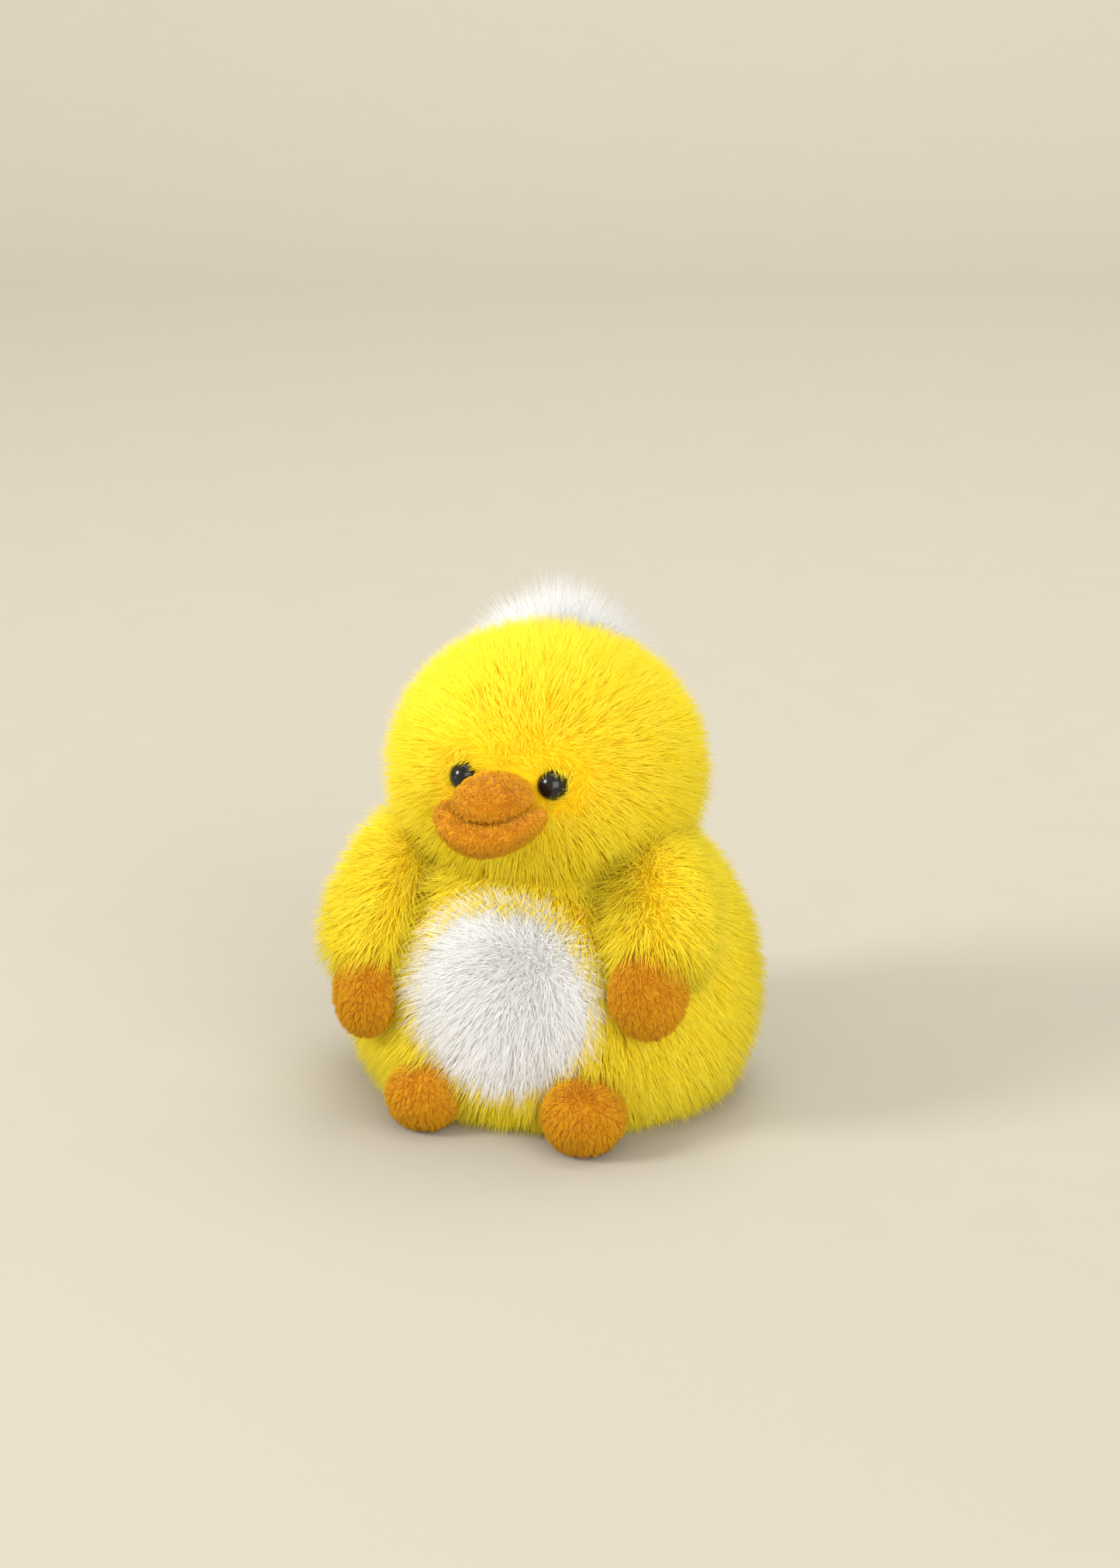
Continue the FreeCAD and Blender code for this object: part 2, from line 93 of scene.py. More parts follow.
def add_camera():
    right, up, back = view_axes(math.radians(CAMERA_TURN_DEG), math.radians(CAMERA_RISE_DEG))
    data = bpy.data.cameras.new("camera")
    data.lens = CAMERA_LENS
    data.clip_start = 0.01
    camera = bpy.data.objects.new("camera", data)
    camera.location = right * AIM_RIGHT + up * AIM_UP + back * CAMERA_DISTANCE
    camera.rotation_euler = back.to_track_quat("Z", "Y").to_euler()
    bpy.context.scene.collection.objects.link(camera)
    bpy.context.scene.camera = camera
    return camera


print("camera at", [round(c, 3) for c in add_camera().location])

# %% [markdown]
# ## Writing shaders as expressions
# A material is a graph of nodes. The small classes below let a graph be written as Python: + and * on a
# socket add Math nodes, and every other node comes from one method that first sets the node up and then
# fills its sockets.

# %% Sockets and graphs
class Socket:
    """One output of a node, which can be used in arithmetic."""

    def __init__(self, graph, socket):
        self.graph = graph
        self.socket = socket

    def worked_out(self, operation, *others):
        """A Math node on this socket and the others."""
        inputs = dict(enumerate((self, *others)))
        return self.graph.node("ShaderNodeMath", {"operation": operation}, inputs)[0]

    def highest(self, other):
        return self.worked_out("MAXIMUM", other)

    def sine(self):
        return self.worked_out("SINE")

    def __add__(self, other):
        return self.worked_out("ADD", other)

    def __sub__(self, other):
        return self.worked_out("SUBTRACT", other)

    def __mul__(self, other):
        return self.worked_out("MULTIPLY", other)

    def __pow__(self, other):
        return self.worked_out("POWER", other)

    __radd__ = __add__


class Made:
    """A node in a graph. Its outputs are read by name or by number."""

    def __init__(self, graph, node):
        self.graph = graph
        self.node = node

    def __getitem__(self, key):
        return Socket(self.graph, self.node.outputs[key])


class Graph:
    """A node tree that is being written."""

    def __init__(self, tree):
        self.tree = tree

    def node(self, kind, settings=None, values=None):
        """Adds a node. settings are its own properties, and values are what goes into its sockets."""
        made = self.tree.nodes.new(kind)
        for name, value in (settings or {}).items():
            if name == "stops":
                set_stops(made.color_ramp, value)
            else:
                setattr(made, name, value)
        for key, value in (values or {}).items():
            if isinstance(value, Socket):
                self.tree.links.new(value.socket, made.inputs[key])
            else:
                made.inputs[key].default_value = value
        return Made(self, made)

    def vector(self, operation, *values):
        """A Vector Math node. A scale's factor has a socket of its own."""
        inputs = dict(enumerate(values))
        if operation == "SCALE":
            inputs = {0: values[0], "Scale": values[1]}
        return self.node("ShaderNodeVectorMath", {"operation": operation}, inputs)[0]

    def mix(self, factor, first, second):
        """A mix of two colours."""
        inputs = {0: factor, 6: first, 7: second}
        return self.node("ShaderNodeMix", {"data_type": "RGBA"}, inputs)[2]


def set_stops(ramp, stops):
    """Gives a colour ramp its stops, as (position, colour) pairs."""
    while len(ramp.elements) < len(stops):
        ramp.elements.new(0.5)
    for element, (position, colour) in zip(ramp.elements, stops):
        element.position = position
        element.color = (*colour, 1.0)


def material(name, build):
    """A new material. build fills its graph and gives the shader that goes to the output."""
    made = bpy.data.materials.new(name)
    made.use_nodes = True
    made.node_tree.nodes.clear()
    graph = Graph(made.node_tree)
    graph.node("ShaderNodeOutputMaterial", None, {"Surface": build(graph)})
    return made


def place_on_object(graph):
    return graph.node("ShaderNodeTexCoord")["Object"]


def noise(graph, place, scale, detail):
    """A cloudy pattern from 0 to 1. A larger scale makes it finer."""
    values = {"Vector": place, "Scale": scale, "Detail": detail}
    return graph.node("ShaderNodeTexNoise", None, values)["Fac"]


def bumped(graph, height, strength, depth):
    """A normal that follows a pattern of heights."""
    values = {"Height": height, "Strength": strength, "Distance": depth}
    return graph.node("ShaderNodeBump", None, values)["Normal"]


def principled(graph, **values):
    """A Principled shader. A socket's name is written with _ for its spaces."""
    inputs = {name.replace("_", " "): value for name, value in values.items()}
    return graph.node("ShaderNodeBsdfPrincipled", None, inputs)["BSDF"]


# %% [markdown]
# ## Fur colours
# Each hair carries two numbers: how far along it a point is, and a tone of its own. The root of a dyed hair
# looks deeper because light gets trapped there, and its tip is paler, so colour is a ramp along the hair.
# The tone then makes neighbouring locks differ a little.

# %% Fur materials
def attribute(graph, name):
    return graph.node("ShaderNodeAttribute", {"attribute_name": name})["Fac"]


TONE_SHARE = 0.45            # how far the palest hairs go towards the light tone
HAIR_ROUGHNESS = 0.62


def fur_material(name, stops, light_tone, sheen):
    """Colour along the hair from stops, with painted shade at the root, mixed towards light_tone by the
    hair's tone.
    """
    def build(graph):
        along = attribute(graph, "along")
        tone = attribute(graph, "tone")
        # The ramp paints shade at the root, where light is trapped between the hairs, and pales towards the
        # tip.
        root_shaded = graph.node("ShaderNodeValToRGB", {"stops": stops}, {"Fac": along})["Color"]
        colour = graph.mix(tone * TONE_SHARE, root_shaded, (*light_tone, 1.0))
        return principled(graph, Base_Color=colour, Roughness=HAIR_ROUGHNESS + tone * 0.12,
                          Specular_IOR_Level=0.25, Sheen_Weight=sheen, Sheen_Roughness=0.5,
                          Sheen_Tint=(*light_tone, 1.0))
    return material(name, build)


# Each ramp runs from root to tip. Its deeper colours towards the root are painted shade.
YELLOW_STOPS = [(0.0, (0.90, 0.58, 0.0)), (0.35, (0.97, 0.70, 0.0)), (0.75, (1.0, 0.79, 0.01)),
                (1.0, (1.0, 0.86, 0.10))]
WHITE_STOPS = [(0.0, (0.90, 0.90, 0.88)), (0.5, (0.96, 0.96, 0.96)), (1.0, (1.0, 1.0, 1.0))]
ORANGE_STOPS = [(0.0, (0.40, 0.13, 0.0)), (0.5, (0.72, 0.30, 0.002)), (1.0, (1.0, 0.50, 0.01))]

fur_yellow = fur_material("fur_yellow", YELLOW_STOPS, (1.0, 0.88, 0.07), 0.06)
fur_white = fur_material("fur_white", WHITE_STOPS, (1.0, 1.0, 1.0), 0.2)
velvet_orange = fur_material("velvet_orange", ORANGE_STOPS, (1.0, 0.56, 0.02), 0.06)
print("fur materials:", [m.name for m in (fur_yellow, fur_white, velvet_orange)])


# %% [markdown]
# Between the hairs the backing shows. It has the fur's colour, painted deeper for the shade that falls under
# the hairs, with the knit of the backing and the matted roots of the pile as noise and bump.

# %% Backing materials
MAT_SCALE = 900.0            # the knit and the matted roots
LOCK_SCALE = 240.0           # the locks that stand on it
# The white backing's colour in painted shade (deep) and in painted light (lit).
UNDYED_DEEP = (0.78, 0.77, 0.74, 1.0)
UNDYED_LIT = (0.93, 0.93, 0.91, 1.0)


def backing_material(name, deep, lit, white=False):
    """Matted backing. With white, the attribute of that name turns it into undyed backing."""
    def build(graph):
        place = place_on_object(graph)
        mat = noise(graph, place, MAT_SCALE, 4.0)
        locks = noise(graph, place, LOCK_SCALE, 2.0)
        # deep is the backing in painted shade and lit is it in painted light. The knit and lock noise mixes
        # them, lit where the mat stands high.
        colour = graph.mix(mat * 0.6 + locks * 0.5 - 0.1, (*deep, 1.0), (*lit, 1.0))
        if white:
            undyed = graph.mix(mat, UNDYED_DEEP, UNDYED_LIT)
            colour = graph.mix(attribute(graph, "white"), colour, undyed)
        return principled(graph, Base_Color=colour, Roughness=0.85 + mat * 0.1,
                          Normal=bumped(graph, mat + locks, 0.6, 0.4 * MM), Sheen_Weight=0.3,
                          Specular_IOR_Level=0.15)
    return material(name, build)


backing_yellow = backing_material("backing_yellow", (0.80, 0.46, 0.0), (0.97, 0.68, 0.002), white=True)
backing_orange = backing_material("backing_orange", (0.36, 0.11, 0.0), (0.62, 0.24, 0.002))
print("backing materials made")


# %% [markdown]
# ## Stuffed forms
# A plush toy is a fabric bag under pressure: it swells between its seams and is held in along them. Each
# form starts as the hulls of its CAD pieces. They are remeshed into one skin of even quads, and Cloth blows
# it up. On the body the vertices near the neck seam and the base are pinned. Cloth is tuned for larger
# things, so the form is simulated at ten times its size. A cap keeps every point close to where the CAD
# puts it.

# %% Hulls and remeshing
WELD = 0.01 * MM             # vertices nearer than this become one


def hull_of(*nodes):
    """One mesh object with the convex hull of each of these CAD nodes."""
    whole = bmesh.new()
    for node in nodes:
        part = bmesh.new()
        part.from_mesh(frame["nodes"][node].data)
        bmesh.ops.remove_doubles(part, verts=part.verts, dist=WELD)
        bmesh.ops.convex_hull(part, input=part.verts)
        loose = [v for v in part.verts if not v.link_faces]
        bmesh.ops.delete(part, geom=loose, context="VERTS")
        copy = bpy.data.meshes.new("hull")
        part.to_mesh(copy)
        part.free()
        whole.from_mesh(copy)
        bpy.data.meshes.remove(copy)
    mesh = bpy.data.meshes.new("hulls")
    whole.to_mesh(mesh)
    whole.free()
    return link(mesh, "hulls")


def link(mesh, name):
    """A new object in the scene with that mesh."""
    made = bpy.data.objects.new(name, mesh)
    mesh.name = name
    bpy.context.scene.collection.objects.link(made)
    return made


def fresh_mesh(source):
    """The object's mesh as its modifiers leave it, read out as a new mesh."""
    graph = bpy.context.evaluated_depsgraph_get()
    return bpy.data.meshes.new_from_object(source.evaluated_get(graph))


def settle(source):
    """Applies the object's modifiers to its mesh."""
    mesh = fresh_mesh(source)
    old = source.data
    source.modifiers.clear()
    source.data = mesh
    bpy.data.meshes.remove(old)
    return source


def coords(mesh):
    """The mesh's vertices as an array, in metres."""
    found = np.empty(len(mesh.vertices) * 3, np.float32)
    mesh.vertices.foreach_get("co", found)
    return found.reshape(-1, 3).astype(float)


def set_coords(mesh, points):
    mesh.vertices.foreach_set("co", np.asarray(points, np.float32).ravel())
    mesh.update()


def vertex_normals(mesh):
    found = np.empty(len(mesh.vertices) * 3, np.float32)
    mesh.vertex_normals.foreach_get("vector", found)
    return found.reshape(-1, 3).astype(float)


def triangles(mesh):
    mesh.calc_loop_triangles()
    return len(mesh.loop_triangles)


def remeshed(source, voxel, smoothing):
    """An even skin over the object's parts, with smoothed creases."""
    skin = source.modifiers.new("skin", "REMESH")
    skin.mode = "VOXEL"
    skin.voxel_size = voxel
    soft = source.modifiers.new("soften", "SMOOTH")
    soft.factor = 0.5
    soft.iterations = smoothing
    return settle(source)


# %% Blowing up a form with Cloth
CLOTH_SCALE = 10.0
CLOTH_FRAMES = 20
LEAST_HOLD = 0.02            # a weaker hold than this is left out


def blown_up(source, seam, cap):
    """Swells the form under pressure. seam gives each vertex a hold from 0, free, to 1, fixed."""
    rest = coords(source.data)
    hold = seam(rest)
    group = source.vertex_groups.new(name="seam")
    for index, weight in enumerate(hold):
        if weight > LEAST_HOLD:
            group.add([index], float(weight), "REPLACE")
    set_coords(source.data, rest * CLOTH_SCALE)
    cloth = source.modifiers.new("cloth", "CLOTH")
    cloth.settings.quality = 4
    cloth.settings.mass = 0.02
    cloth.settings.tension_stiffness = 8
    cloth.settings.compression_stiffness = 8
    cloth.settings.bending_stiffness = 0.3
    cloth.settings.use_pressure = True
    cloth.settings.uniform_pressure_force = 4
    cloth.settings.effector_weights.gravity = 0
    cloth.settings.vertex_group_mass = "seam"
    scene = bpy.context.scene
    for number in range(1, CLOTH_FRAMES + 1):
        scene.frame_set(number)
    swollen = fresh_mesh(source)
    moved = coords(swollen) / CLOTH_SCALE - rest
    length = np.linalg.norm(moved, axis=1, keepdims=True)
    moved *= np.minimum(1.0, cap / np.maximum(length, 1e-9))
    source.modifiers.clear()
    source.vertex_groups.clear()
    scene.frame_set(1)
    set_coords(source.data, rest + moved)
    bpy.data.meshes.remove(swollen)
    widest = round(float(length.max()) / MM, 2)
    print(source.name, "swelled by up to", widest, "mm, capped at", round(cap / MM, 2))


def stuffed(name, nodes, voxel, smoothing, seam, cap, build=None):
    """A named padded piece made from the hulls of CAD nodes."""
    piece = remeshed(hull_of(*nodes), voxel, smoothing)
    piece.name = piece.data.name = name
    if build:
        set_coords(piece.data, build(coords(piece.data)))
    blown_up(piece, seam, cap)
    finer = piece.modifiers.new("finer", "SUBSURF")
    finer.levels = finer.render_levels = 1
    settle(piece)
    piece.data.polygons.foreach_set("use_smooth", [True] * len(piece.data.polygons))
    print(name, len(piece.data.polygons), "faces")
    return piece


# %% [markdown]
# ## The body and the sleeves
# Head and torso are one bag here, held in at the neck seam and flat where it sits. Each sleeve is a bag of
# its own, because it lifts at the shoulder.

# %% Body and sleeves
NECK_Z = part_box("torso_skin")[1][2]
NECK_HOLD = 2.5 * MM         # how far the neck seam's hold reaches
BASE_HOLD = 2.0 * MM
BASE_LIFT = 0.5 * MM
BODY_VOXEL = 2.0 * MM
SLEEVE_VOXEL = 1.2 * MM
BODY_CAP = 0.8 * MM
SLEEVE_CAP = 0.4 * MM
BELLY_LOW, BELLY_HIGH = (Vector(c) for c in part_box("belly_patch"))
BELLY_MIDDLE = (BELLY_LOW + BELLY_HIGH) / 2
BELLY_RADIUS = (BELLY_HIGH.x - BELLY_LOW.x) / 2


def near(values, middle, width):
    """1 where values are at the middle, falling smoothly to 0 a few widths away."""
    return np.exp(-((values - middle) / width) ** 2)


def body_seam(points):
    neck = near(points[:, 2], NECK_Z, NECK_HOLD)
    base = np.clip(1.5 - points[:, 2] / BASE_HOLD, 0, 1)
    return np.maximum(neck, base)


def free_seam(points):
    return np.zeros(len(points))


def off_base(points):
    """Keeps the bag just above the base panel's underside."""
    points[:, 2] = np.maximum(points[:, 2], BASE_LIFT)
    return points


body = stuffed("body", ("torso_skin", "head_skin"), BODY_VOXEL, 6, body_seam, BODY_CAP, off_base)
body.data.materials.append(backing_yellow)
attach(body, "plush")
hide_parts("torso_skin", "head_skin", "torso_filling", "head_filling", "pellet_pouch", "belly_patch")

sleeves = {}
for side in ("left", "right"):
    name = "sleeve_plush_" + side
    sleeve = stuffed(name, ("sleeve_" + side,), SLEEVE_VOXEL, 3, free_seam, SLEEVE_CAP)
    sleeve.data.materials.append(backing_yellow)
    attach(sleeve, "arm_" + side)
    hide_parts("sleeve_" + side, "sleeve_filling_" + side)
    sleeves[side] = sleeve

# %% [markdown]
# ## Long pile as Geometry Nodes
# Every patch of fur follows one rule: scatter roots over the backing, stand a hair on each, then bend it.
# The rule is one node tree. Hairs lean along a comb direction painted on the backing, droop under their
# weight, wave a little, and gather towards the tip of the nearest lock, which makes fur look like fur and
# not like a brush.

# %% One hair
HAIR_SIDES = 3


def hair_template(name, rings):
    """A hair one unit long, standing on the origin. rings says how thick it is at each height."""
    verts = []
    along = []
    for height, radius in rings:
        for side in range(HAIR_SIDES):
            angle = 2 * math.pi * side / HAIR_SIDES
            verts.append((radius * math.cos(angle), radius * math.sin(angle), height))
            along.append(height)
    verts.append((0, 0, 1))
    along.append(1.0)
    faces = []
    last = HAIR_SIDES * (len(rings) - 1)
    for side in range(HAIR_SIDES):
        after = (side + 1) % HAIR_SIDES
        for start in range(0, last, HAIR_SIDES):
            faces.append((start + side, start + after, start + after + HAIR_SIDES, start + side + HAIR_SIDES))
        faces.append((last + side, last + after, last + HAIR_SIDES))
    mesh = bpy.data.meshes.new(name)
    mesh.from_pydata(verts, [], faces)
    mesh.attributes.new("along", "FLOAT", "POINT").data.foreach_set("value", along)
    mesh.polygons.foreach_set("use_smooth", [True] * len(mesh.polygons))
    return link(mesh, name)


long_hair = hair_template("long_hair", ((0.0, 1.0), (0.5, 0.78)))
short_hair = hair_template("short_hair", ((0.0, 1.0),))
print("a hair has", len(long_hair.data.polygons), "or", len(short_hair.data.polygons), "faces")

# %% The fur tree
FUR_INPUTS = (
    ("Hair", "NodeSocketObject", None),
    ("Density", "NodeSocketFloat", 2.0e6),
    ("Length", "NodeSocketFloat", 7 * MM),
    ("Thickness", "NodeSocketFloat", 0.1 * MM),
    ("Splay", "NodeSocketFloat", 0.38),
    ("Droop", "NodeSocketFloat", 0.15),
    ("Lock Density", "NodeSocketFloat", 2.6e5),
    ("Gather", "NodeSocketFloat", 0.34),
    ("Wave", "NodeSocketFloat", 0.95 * MM),
    ("Floor", "NodeSocketFloat", 0.3 * MM),
    ("Seed", "NodeSocketInt", 1),
    ("Material", "NodeSocketMaterial", None),
)


def named(graph, name, kind="FLOAT"):
    return graph.node("GeometryNodeInputNamedAttribute", {"data_type": kind}, {"Name": name})["Attribute"]


def store(graph, geometry, name, value, kind="FLOAT"):
    settings = {"data_type": kind, "domain": "POINT"}
    return graph.node("GeometryNodeStoreNamedAttribute", settings,
                      {"Geometry": geometry, "Name": name, "Value": value})["Geometry"]


def random_value(graph, low, high, seed, key=None):
    """A random number between low and high for each element, or one for each value of key."""
    values = {2: low, 3: high, "Seed": seed}
    if key is not None:
        values["ID"] = key
    return graph.node("FunctionNodeRandomValue", {"data_type": "FLOAT"}, values)[1]


def leaning(graph, normal, splay, seed):
    """A hair's direction: off the backing, along the comb, and a little at random."""
    cube = {0: (-1.0, -1.0, -1.0), 1: (1.0, 1.0, 1.0), "Seed": seed}
    jitter = graph.node("FunctionNodeRandomValue", {"data_type": "FLOAT_VECTOR"}, cube)[0]
    combed = graph.vector("ADD", normal, named(graph, "comb", "FLOAT_VECTOR"))
    return graph.vector("NORMALIZE", graph.vector("ADD", combed, graph.vector("SCALE", jitter, splay)))


def build_fur_tree():
    tree = bpy.data.node_groups.new("fur", "GeometryNodeTree")
    tree.interface.new_socket("Geometry", in_out="INPUT", socket_type="NodeSocketGeometry")
    for name, kind, default in FUR_INPUTS:
        made = tree.interface.new_socket(name, in_out="INPUT", socket_type=kind)
        if default is not None:
            made.default_value = default
    tree.interface.new_socket("Geometry", in_out="OUTPUT", socket_type="NodeSocketGeometry")
    graph = Graph(tree)
    given = graph.node("NodeGroupInput")
    backing = given["Geometry"]
    position = graph.node("GeometryNodeInputPosition")["Position"]
    pile = named(graph, "pile")

    # The tips of the locks that hairs gather towards.
    locks = graph.node("GeometryNodeDistributePointsOnFaces", None, {
        "Mesh": backing, "Density": given["Lock Density"], "Seed": given["Seed"] + 17})
    lock_way = leaning(graph, locks["Normal"], given["Splay"] * 1.3, given["Seed"] + 5)
    lock_tip = graph.vector("ADD", position, graph.vector("SCALE", lock_way, given["Length"] * pile))
    lock_points = store(graph, locks["Points"], "tip", lock_tip, "FLOAT_VECTOR")

    # The roots of the hairs, and what each hair remembers.
    roots = graph.node("GeometryNodeDistributePointsOnFaces", None, {
        "Mesh": backing, "Density": given["Density"] * named(graph, "cover"), "Seed": given["Seed"]})
    way = leaning(graph, roots["Normal"], given["Splay"], given["Seed"] + 3)
    reach = given["Length"] * pile * random_value(graph, 0.62, 1.16, given["Seed"] + 4)
    nearest = graph.node("GeometryNodeSampleNearest", {"domain": "POINT"}, {
        "Geometry": lock_points, "Sample Position": position})["Index"]
    lock = graph.node("GeometryNodeSampleIndex", {"data_type": "FLOAT_VECTOR", "domain": "POINT"}, {
        "Geometry": lock_points, "Value": named(graph, "tip", "FLOAT_VECTOR"), "Index": nearest})["Value"]
    own_tip = graph.vector("ADD", position, graph.vector("SCALE", way, reach))
    hair_tone = random_value(graph, 0.0, 1.0, given["Seed"] + 6)
    lock_tone = random_value(graph, 0.0, 1.0, given["Seed"] + 8, nearest)
    points = store(graph, roots["Points"], "gather", graph.vector("SUBTRACT", lock, own_tip), "FLOAT_VECTOR")
    points = store(graph, points, "tone", hair_tone * 0.4 + lock_tone * 0.6)
    points = store(graph, points, "reach", reach)
    points = store(graph, points, "root", position, "FLOAT_VECTOR")
    points = store(graph, points, "lit", roots["Normal"], "FLOAT_VECTOR")

    # A hair on each root.
    turn = graph.node("FunctionNodeAlignRotationToVector", {"axis": "Z"}, {"Vector": way})["Rotation"]
    thin = given["Thickness"] * random_value(graph, 0.7, 1.2, given["Seed"] + 9)
    size = graph.node("ShaderNodeCombineXYZ", None, {"X": thin, "Y": thin, "Z": reach})["Vector"]
    one = graph.node("GeometryNodeObjectInfo", None, {"Object": given["Hair"]})["Geometry"]
    stood = graph.node("GeometryNodeInstanceOnPoints", None, {
        "Points": points, "Instance": one, "Rotation": turn, "Scale": size})["Instances"]
    strands = graph.node("GeometryNodeRealizeInstances", None, {"Geometry": stood})["Geometry"]

    # Bends that grow towards the tip.
    along = named(graph, "along")
    bend = along ** 1.7
    droop_by = named(graph, "reach") * given["Droop"] * bend * -1.0
    droop = graph.node("ShaderNodeCombineXYZ", None, {"X": 0.0, "Y": 0.0, "Z": droop_by})["Vector"]
    gather = graph.vector("SCALE", named(graph, "gather", "FLOAT_VECTOR"), bend * given["Gather"])
    field = graph.node("ShaderNodeTexNoise", None, {
        "Vector": named(graph, "root", "FLOAT_VECTOR"), "Scale": 260.0, "Detail": 2.0})["Color"]
    swirl = graph.vector("SUBTRACT", field, (0.5, 0.5, 0.5))
    wave = graph.vector("SCALE", swirl, along * given["Wave"] * 2.0)
    offset = graph.vector("ADD", graph.vector("ADD", droop, gather), wave)
    bent = graph.node("GeometryNodeSetPosition", None, {"Geometry": strands, "Offset": offset})["Geometry"]
    parts = graph.node("ShaderNodeSeparateXYZ", None, {"Vector": position})
    floor = parts["Z"].highest(given["Floor"] * along)
    raised = {"X": parts["X"], "Y": parts["Y"], "Z": floor}
    lifted = graph.node("ShaderNodeCombineXYZ", None, raised)["Vector"]
    laid = graph.node("GeometryNodeSetPosition", None, {"Geometry": bent, "Position": lifted})["Geometry"]
    done = graph.node("GeometryNodeSetMaterial", None, {"Geometry": laid, "Material": given["Material"]})
    graph.node("NodeGroupOutput", None, {"Geometry": done["Geometry"]})
    return tree


fur_tree = build_fur_tree()
print("the fur tree has", len(fur_tree.nodes), "nodes")

# %% Growing fur on a backing
UV_MARGIN = 0.02             # the strand map keeps this far from the picture's edges
COAT_LIGHT = 1.3             # how much more a long hair takes its light from the coat than from its own sides
VELVET_LIGHT = 0.6           # and a short one


def paint(mesh, name, values):
    """Stores one number or one vector per vertex."""
    values = np.asarray(values, np.float32)
    kind, field = ("FLOAT", "value") if values.ndim == 1 else ("FLOAT_VECTOR", "vector")
    mesh.attributes.new(name, kind, "POINT").data.foreach_set(field, values.ravel())


def strand_map(mesh):
    """A UV map made of tone across and length up, so that hairs of one tone share their colours."""
    count = len(mesh.vertices)
    tone = np.empty(count, np.float32)
    along = np.empty(count, np.float32)
    mesh.attributes["tone"].data.foreach_get("value", tone)
    mesh.attributes["along"].data.foreach_get("value", along)
    corner = np.empty(len(mesh.loops), np.int32)
    mesh.loops.foreach_get("vertex_index", corner)
    spread = 1 - 2 * UV_MARGIN
    flat = np.stack([UV_MARGIN + spread * tone[corner], UV_MARGIN + spread * along[corner]], axis=1)
    mesh.uv_layers.new(name="OFBake").data.foreach_set("uv", flat.astype(np.float32).ravel())


def soften_normals(mesh, share):
    """Turns each hair's normals towards the coat's, because light spreads from hair to hair in real fur."""
    coat = np.empty(len(mesh.vertices) * 3, np.float32)
    mesh.attributes["lit"].data.foreach_get("vector", coat)
    blend = coat.reshape(-1, 3) * share + vertex_normals(mesh)
    blend /= np.maximum(np.linalg.norm(blend, axis=1, keepdims=True), 1e-9)
    mesh.normals_split_custom_set_from_vertices(blend)


def grow(name, backing, finish, slot, rides, pile, comb, cover, **sizes):
    """A piece of fur on a copy of the backing. pile, comb and cover are painted on it as attributes."""
    host = link(backing.data.copy(), name + "_backing")
    host.data.materials.clear()
    paint(host.data, "pile", pile)
    paint(host.data, "comb", comb)
    paint(host.data, "cover", cover)
    modifier = host.modifiers.new("fur", "NODES")
    modifier.node_group = fur_tree
    values = {"Hair": long_hair, "Material": finish, **sizes}
    for item in fur_tree.interface.items_tree:
        if item.in_out == "INPUT" and item.name in values:
            modifier[item.identifier] = values[item.name]
    mesh = fresh_mesh(host)
    bpy.data.objects.remove(host)
    strand_map(mesh)
    soften_normals(mesh, COAT_LIGHT if values["Hair"] == long_hair else VELVET_LIGHT)
    for extra in ("gather", "reach", "root", "lit", "pile", "comb", "cover", "white"):
        if extra in mesh.attributes:
            mesh.attributes.remove(mesh.attributes[extra])
    piece = link(mesh, name)
    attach(piece, rides)
    hairs = len(mesh.polygons) // len(values["Hair"].data.polygons)
    print(name, hairs, "hairs,", triangles(mesh), "triangles")
    return piece


# %% [markdown]
# ## The duck's coat
# The pile isn't the same everywhere. It is short round the eyes and the bill, where a maker trims it so
# that the face shows, and longest over the feet. On the head it is combed away from the face, except beside
# the eyes, where it is combed towards them. On the torso it falls.

# %% Measures of the coat
BILL_LOW, BILL_HIGH = (Vector(c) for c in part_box("bill_mound"))
BILL_MIDDLE = (BILL_LOW + BILL_HIGH) / 2
FACE = Vector((0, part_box("head_skin")[0][1] - 2 * MM, BILL_MIDDLE.z - 1 * MM))
EYES = [sum((Vector(c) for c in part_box("eye_" + side)), Vector()) / 2 for side in ("left", "right")]
CREST_LOW, CREST_HIGH = (Vector(c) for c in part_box("crest"))
CREST_MIDDLE = (CREST_LOW + CREST_HIGH) / 2
COAT_LENGTH = 7.4 * MM
SEAM_BLEND = 0.6 * MM        # patches fade into each other over this much on each side
EYE_CLEAR = (2.3 * MM, 3.2 * MM)
EYE_TRIM = (4.0 * MM, 12 * MM)
FACE_TRIM = (9 * MM, 22 * MM)
BILL_CLEAR_HALF = (9.5 * MM, 5.5 * MM)
BILL_CLEAR_DROP = 1.5 * MM
CREST_SHIFT = 2.5 * MM
FOOT_HEIGHT = 15 * MM
FOOT_ASIDE = 17 * MM


def ease(values, low, high):
    """0 below low, 1 above high, and a smooth rise between."""
    share = np.clip((values - low) / (high - low), 0, 1)
    return share * share * (3 - 2 * share)


def along_surface(directions, normals):
    """The part of each direction that lies in the surface, one unit long."""
    flat = directions - normals * np.sum(directions * normals, axis=1, keepdims=True)
    return flat / np.maximum(np.linalg.norm(flat, axis=1, keepdims=True), 1e-9)


def distance(points, middle):
    return np.linalg.norm(points - np.array(middle), axis=1)


